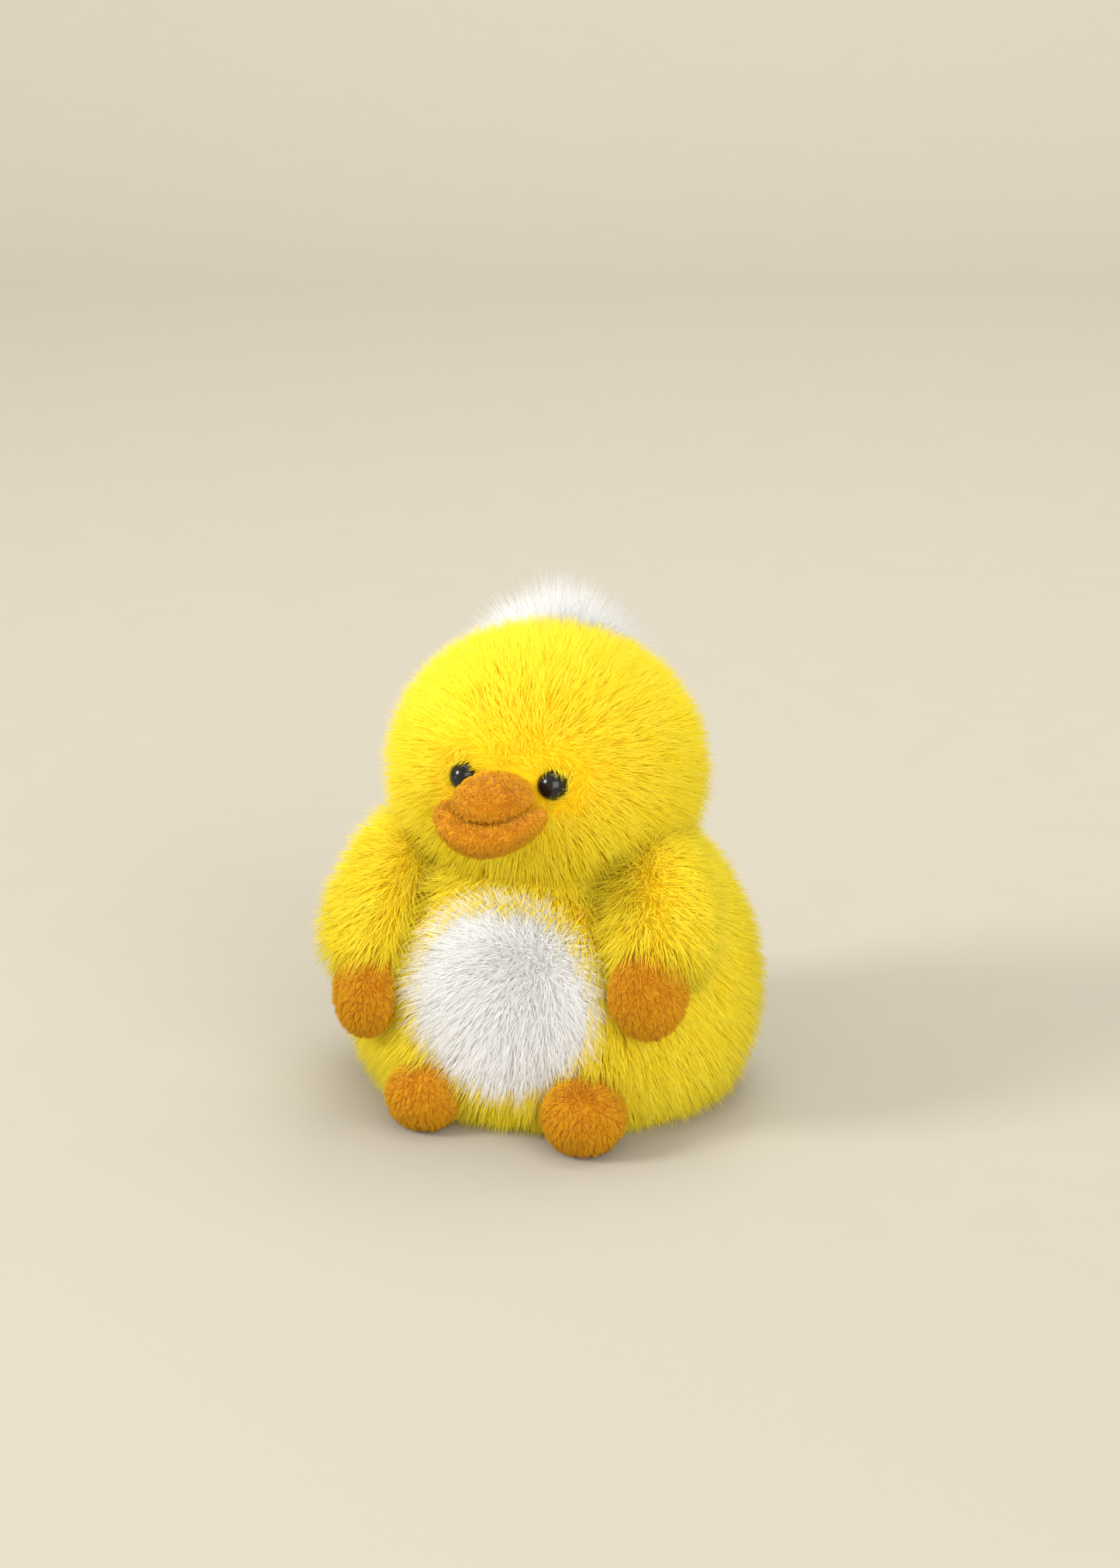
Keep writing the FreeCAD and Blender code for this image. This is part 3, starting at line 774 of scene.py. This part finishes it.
skin = coords(body.data)
facing = vertex_normals(body.data)
x, y, z = skin.T
eye_distance = np.minimum(distance(skin, EYES[0]), distance(skin, EYES[1]))
face_distance = distance(skin, FACE)
bill_across = x / BILL_CLEAR_HALF[0]
bill_up = (z - BILL_MIDDLE.z + BILL_CLEAR_DROP) / BILL_CLEAR_HALF[1]
bill_reach = np.hypot(bill_across, bill_up) + ease(y, -15 * MM, -5 * MM)
belly_distance = np.hypot(x, z - BELLY_MIDDLE.z)
on_front = 1 - ease(y, -SEAM_BLEND, SEAM_BLEND)
on_left = ease(x, -SEAM_BLEND, SEAM_BLEND)
on_head = ease(z, NECK_Z - SEAM_BLEND, NECK_Z + SEAM_BLEND)
on_belly = (1 - ease(belly_distance, BELLY_RADIUS - 0.3 * MM, BELLY_RADIUS + 0.5 * MM)) * on_front
off_floor = ease(z, 1.0 * MM, 2.2 * MM)
crest_half = (CREST_HIGH - CREST_LOW) / 2
crest_across = (x - CREST_MIDDLE.x + CREST_SHIFT) / crest_half.x
crest_back = (y - CREST_MIDDLE.y) / (1.3 * crest_half.y)
crest_reach = np.hypot(crest_across, crest_back)
on_crest = (1 - ease(crest_reach, 0.7, 1.0)) * ease(z, CREST_MIDDLE.z - 7 * MM, CREST_MIDDLE.z - 4 * MM)
off_face = ease(eye_distance, *EYE_CLEAR) * ease(bill_reach, 0.75, 1.0)
paint(body.data, "white", np.maximum(on_belly, on_crest * (1 - ease(crest_reach, 0.55, 0.8))))

trimmed_at_eyes = 0.50 + 0.50 * ease(eye_distance, *EYE_TRIM)
trimmed_at_face = 0.40 + 0.60 * ease(face_distance, *FACE_TRIM)
head_pile = np.minimum(trimmed_at_eyes, trimmed_at_face)
nearest_eye = np.where((x > 0)[:, None], np.array(EYES[0]), np.array(EYES[1]))
over_eye = near(eye_distance, 4.4 * MM, 1.5 * MM)[:, None]
head_comb = along_surface(skin - np.array(FACE), facing) * 0.5
head_comb = head_comb * (1 - over_eye) + along_surface(nearest_eye - skin, facing) * 0.85 * over_eye
over_feet = on_front * near(z, FOOT_HEIGHT, 5 * MM) * near(np.abs(x), FOOT_ASIDE, 9 * MM)
fall = (0.5 - 0.4 * over_feet)[:, None]
torso_comb = along_surface(np.tile((0.0, 0.0, -1.0), (len(skin), 1)), facing) * fall
whole_comb = head_comb * on_head[:, None] + torso_comb * (1 - on_head[:, None])
print("painted", len(skin), "points")

# %% [markdown]
# The coat is grown in patches, so that no piece is heavier than it needs to be.

# %% Coat patches
DENSE = 6.0e6         # hairs per square metre
HAIR_RADIUS = 0.085 * MM


def patch(name, finish, slot, cover, pile, comb, seed, **sizes):
    """A patch of the body's coat."""
    given = {"Density": DENSE, "Length": COAT_LENGTH, "Thickness": HAIR_RADIUS, "Seed": seed, **sizes}
    return grow(name, body, finish, slot, "plush", pile, comb, cover, **given)


torso_pile = 1 + 0.45 * over_feet
thinned_at_eye = 1 - 0.5 * over_eye[:, 0]
head_cover = on_head * (off_face * thinned_at_eye * on_front + (1 - on_crest) * (1 - on_front))
torso_cover = (1 - on_head) * off_floor * (1 - on_belly)
QUARTERS = (("front_left", on_front * on_left), ("front_right", on_front * (1 - on_left)),
            ("back_left", (1 - on_front) * on_left), ("back_right", (1 - on_front) * (1 - on_left)))
COATS = (("head_fur_", 11, head_cover, head_pile), ("torso_fur_", 13, torso_cover, torso_pile))
for number, (quarter, share) in enumerate(QUARTERS):
    for start, seed, cover, pile in COATS:
        patch(start + quarter, fur_yellow, "fur_yellow", cover * share, pile, whole_comb, seed + 10 * number)

belly_out = along_surface(skin - np.array(BELLY_MIDDLE), facing)
belly_comb = belly_out * (0.15 + 0.45 * ease(belly_distance, 0.0, BELLY_RADIUS))[:, None]
belly_pile = np.full_like(z, 0.95)
patch("belly_fur", fur_white, "fur_white", on_belly, belly_pile, belly_comb, 57,
      Density=DENSE * 1.8, Thickness=0.07 * MM, Gather=0.15, Wave=0.8 * MM)

crest_share = crest_reach.clip(0, 1)
upward = np.tile((0.0, 0.25, 1.0), (len(skin), 1)) * 0.7 * (1 - crest_share)[:, None]
outward = along_surface(skin - np.array(CREST_MIDDLE), facing) * 0.8 * crest_share[:, None]
crest_pile = 1.0 - 0.45 * crest_share
crest_fur = patch("crest_fur", fur_white, "fur_white", on_crest, crest_pile, upward + outward, 61,
                  Density=DENSE * 3.0, Length=18 * MM, Thickness=0.05 * MM, Splay=0.6, Wave=4.5 * MM,
                  Droop=0.08, Gather=0.05)
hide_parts("crest")

# %% Sleeve fur
for side, sleeve in sleeves.items():
    points = coords(sleeve.data)
    normals = vertex_normals(sleeve.data)
    sign = 1 if side == "left" else -1
    down = np.tile((0.42 * sign, -0.55, -0.72), (len(points), 1))
    comb = along_surface(down, normals) * 0.5
    cover = 1 - ease(normals[:, 0] * -sign, 0.55, 0.85) * 0.6
    pile = np.ones(len(points))
    grow("sleeve_fur_" + side, sleeve, fur_yellow, "fur_yellow", "arm_" + side, pile, comb, cover,
         Density=DENSE * 1.15, Length=COAT_LENGTH, Thickness=HAIR_RADIUS, Seed=71 + sign, Droop=0.15,
         Gather=0.26, Splay=0.46)

# %% [markdown]
# ## Bill, hands and feet
# These are cut from short velvety pile. The bill is a plump mound on a wider lip whose corners turn up.
# Hands are flat mittens, and feet are balls.

# %% Velvet pieces
LIP_LOW, LIP_HIGH = (Vector(c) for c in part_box("bill_lip"))
BILL_PILE = 0.9 * MM
PAW_PILE = 1.4 * MM
VELVET_VOXEL = 0.8 * MM
VELVET_DENSE = 18.0e6
CORNER_RISE_MM = 3.4         # how far the lip's corners stand above its middle
MIDDLE_DROP_MM = 1.0


def lip_shape(points):
    """Turns the lip's corners up and lets its middle hang."""
    half = (LIP_HIGH.x - LIP_LOW.x) / 2
    share = np.clip(np.abs(points[:, 0]) / half, 0, 1)
    points[:, 2] += (share ** 2 * CORNER_RISE_MM - MIDDLE_DROP_MM) * MM
    return points


def velvet(name, node, filling, rides, length, cap, comb_way, seed, build=None):
    """A stuffed piece of short pile in place of a CAD node and its filling, with its hairs."""
    piece = stuffed(name, (node,), VELVET_VOXEL, 2, free_seam, cap, build)
    piece.data.materials.append(backing_orange)
    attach(piece, rides)
    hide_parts(node, filling)
    points = coords(piece.data)
    normals = vertex_normals(piece.data)
    comb = along_surface(np.tile(comb_way, (len(points), 1)), normals) * 0.6
    everywhere = np.ones(len(points))
    grow(name + "_pile", piece, velvet_orange, "plush_orange", rides, everywhere, comb, everywhere,
         Hair=short_hair, Density=VELVET_DENSE, Length=length, Thickness=0.08 * MM, Splay=0.45, Droop=0.05,
         Gather=0.5, Wave=0.4 * length, Seed=seed, **{"Lock Density": 1.1e6})


velvet("bill_lip_velvet", "bill_lip", "bill_lip_filling", "plush",
       BILL_PILE, 0.1 * MM, (0.0, -0.4, -1.0), 101, lip_shape)
velvet("bill_mound_velvet", "bill_mound", "bill_mound_filling", "plush",
       BILL_PILE, 0.4 * MM, (0.0, -1.0, -0.2), 103)
for side in ("left", "right"):
    velvet("hand_velvet_" + side, "hand_" + side, "hand_filling_" + side, "arm_" + side,
           PAW_PILE, 0.5 * MM, (0.3, 0.0, -1.0), 107)
    velvet("foot_velvet_" + side, "foot_" + side, "foot_filling_" + side, "foot_" + side,
           PAW_PILE, 0.3 * MM, (0.2, -0.3, -1.0), 109)

for template in (long_hair, short_hair):
    bpy.data.objects.remove(template)

# %% [markdown]
# ## Eyes and hardware
# The beads, the tape and the metal already have their true shapes in the CAD frame, so they only need their
# finish. Polished metal is never quite even: its roughness wanders, with fine scratches across it.

# %% Hard materials
TAPE_PITCH_ACROSS = 0.55 * MM
TAPE_PITCH_DOWN = 0.7 * MM
LINING_PITCH = 0.5 * MM


def bead_black(graph):
    haze = noise(graph, place_on_object(graph), 700.0, 3.0)
    colour = graph.mix(haze, (0.004, 0.004, 0.004, 1.0), (0.012, 0.010, 0.009, 1.0))
    return principled(graph, Base_Color=colour, Roughness=0.10 + haze * 0.08, Specular_IOR_Level=0.3,
                      Coat_Weight=0.25, Coat_Roughness=0.03)


def plated_metal(tint, roughness, scratch_scale):
    """Bright plating with a wandering roughness and fine scratches."""
    def build(graph):
        place = place_on_object(graph)
        cloud = noise(graph, place, 260.0, 3.0)
        stretch = graph.node("ShaderNodeMapping", None, {"Vector": place, "Scale": (1.0, 1.0, 9.0)})["Vector"]
        fine = noise(graph, stretch, scratch_scale, 5.0)
        deep = tuple(0.8 * c for c in tint)
        colour = graph.mix(cloud, (*deep, 1.0), (*tint, 1.0))
        return principled(graph, Base_Color=colour, Metallic=1.0,
                          Roughness=roughness + cloud * 0.12 + fine * 0.06,
                          Normal=bumped(graph, fine, 0.12, 0.05 * MM))
    return build


def threads(along_axis, pitch):
    """Rounded ridges, one for each thread, between -1 and 1."""
    return (along_axis * (2 * math.pi / pitch)).sine()


def woven_tape(graph):
    """A plain weave: threads across and along, each a rounded ridge."""
    place = place_on_object(graph)
    parts = graph.node("ShaderNodeSeparateXYZ", None, {"Vector": place})
    weave = threads(parts["X"], TAPE_PITCH_ACROSS) * threads(parts["Z"], TAPE_PITCH_DOWN) * 0.5 + 0.5
    fuzz = noise(graph, place, 2600.0, 3.0)
    # The colour follows the weave's height, darker where the threads dip: painted shade between the threads.
    # The fuzz adds the yarn's own uneven tone.
    colour = graph.mix(weave * 0.7 + fuzz * 0.3, (0.72, 0.44, 0.004, 1.0), (0.96, 0.74, 0.03, 1.0))
    return principled(graph, Base_Color=colour, Roughness=0.75 + fuzz * 0.15, Sheen_Weight=0.25,
                      Normal=bumped(graph, weave + fuzz * 0.4, 0.7, 0.15 * MM))


def moulded_plastic(graph):
    grain = noise(graph, place_on_object(graph), 900.0, 3.0)
    colour = graph.mix(grain, (0.80, 0.80, 0.77, 1.0), (0.88, 0.88, 0.86, 1.0))
    return principled(graph, Base_Color=colour, Roughness=0.42 + grain * 0.1)


def woven_lining(graph):
    parts = graph.node("ShaderNodeSeparateXYZ", None, {"Vector": place_on_object(graph)})
    weave = threads(parts["X"], LINING_PITCH) * threads(parts["Y"], LINING_PITCH) * 0.5 + 0.5
    # The colour follows the weave's height, darker where the threads dip: painted shade between the threads.
    colour = graph.mix(weave, (0.70, 0.46, 0.005, 1.0), (0.93, 0.72, 0.03, 1.0))
    return principled(graph, Base_Color=colour, Roughness=0.8 + weave * 0.1, Sheen_Weight=0.2,
                      Normal=bumped(graph, weave, 0.5, 0.1 * MM))


FINISHES = {
    "bead_black": (bead_black, ("eye_left", "eye_right")),
    "washer_plastic": (moulded_plastic, ("eye_washer_left", "eye_washer_right")),
    "tape_weave": (woven_tape, ("tape_loop", "tape_tail")),
    "ring_plating": (plated_metal((0.86, 0.86, 0.87), 0.10, 1500.0), ("split_ring",)),
    "clasp_plating": (plated_metal((0.84, 0.83, 0.82), 0.16, 1100.0),
                      ("clasp_swivel", "clasp_hook", "clasp_gate", "gate_pin")),
    "spring_wire": (plated_metal((0.70, 0.70, 0.72), 0.28, 1800.0), ("gate_spring",)),
    "base_lining": (woven_lining, ("base_panel",)),
}
for name, (build, nodes) in FINISHES.items():
    finish = material(name, build)
    for node in nodes:
        shown = frame["nodes"][node]
        shown.data.materials.clear()
        shown.data.materials.append(finish)
print("finished", sum(len(nodes) for _, nodes in FINISHES.values()), "CAD pieces")

# %% [markdown]
# ## Floor and light
# The sweep is one sheet with a large bend, lit by the same lamps as the duck. A small lamp at the left
# gives the duck its shadow, and two wider ones, at the right and above, fill in.

# %% Sweep
FLOOR_HALF = 6.0
BEND_RADIUS = 0.5
BEND_START = 0.9
WALL_HEIGHT = 1.6
BEND_STEPS = 12


def sweep_profile():
    """The floor's run, its bend and the wall, as (depth, height) points."""
    points = [(-FLOOR_HALF, 0.0), (BEND_START, 0.0)]
    for step in range(1, BEND_STEPS + 1):
        angle = math.pi / 2 * step / BEND_STEPS
        points.append((BEND_START + BEND_RADIUS * math.sin(angle), BEND_RADIUS * (1 - math.cos(angle))))
    points.append((BEND_START + BEND_RADIUS, WALL_HEIGHT))
    return points


def paper_sweep(graph):
    """Matt paper, painted darker at the front and paler with depth towards the wall: painted shade and light
    across the sweep.
    """
    place = place_on_object(graph)
    fibre = noise(graph, place, 60.0, 4.0)
    depth = graph.node("ShaderNodeSeparateXYZ", None, {"Vector": place})["Y"]
    colour = graph.mix(fibre * 0.06 + depth * 0.45, (0.475, 0.447, 0.378, 1.0), (0.80, 0.75, 0.64, 1.0))
    return principled(graph, Base_Color=colour, Roughness=0.9)


def add_sweep():
    profile = sweep_profile()
    turn = math.radians(CAMERA_TURN_DEG)
    verts = []
    for side in (-FLOOR_HALF, FLOOR_HALF):
        for depth, height in profile:
            verts.append((side * math.cos(turn) - depth * math.sin(turn),
                          side * math.sin(turn) + depth * math.cos(turn), height))
    count = len(profile)
    faces = [(i, i + count, i + count + 1, i + 1) for i in range(count - 1)]
    mesh = bpy.data.meshes.new("sweep")
    mesh.from_pydata(verts, [], faces)
    mesh.polygons.foreach_set("use_smooth", [True] * len(faces))
    floor = link(mesh, "sweep")
    floor.data.materials.append(material("paper_sweep", paper_sweep))
    return floor


print("sweep of", len(add_sweep().data.polygons), "faces")

# %% Lamps
AIM = (0.0, 0.0, 0.05)


def add_lamp(name, place, power, size, colour):
    """A square lamp that points at the duck. power is in watts and size in metres."""
    data = bpy.data.lights.new(name, "AREA")
    data.energy = power
    data.size = size
    data.color = colour
    lamp = bpy.data.objects.new(name, data)
    lamp.location = place
    lamp.rotation_euler = (Vector(place) - Vector(AIM)).to_track_quat("Z", "Y").to_euler()
    bpy.context.scene.collection.objects.link(lamp)


add_lamp("key", (-0.77, -0.62, 0.64), 8.4, 0.36, (1.0, 0.97, 0.92))
add_lamp("fill", (0.8, -0.9, 0.5), 11.0, 1.0, (1.0, 0.98, 0.95))
add_lamp("top", (0.1, 0.3, 1.1), 6.0, 0.8, (1.0, 0.99, 0.97))

world = bpy.data.worlds.new("studio")
world.use_nodes = True
surroundings = world.node_tree.nodes["Background"]
surroundings.inputs["Color"].default_value = (1.0, 0.96, 0.88, 1.0)
surroundings.inputs["Strength"].default_value = 0.72
bpy.context.scene.world = world
bpy.context.scene.view_settings.view_transform = "Standard"
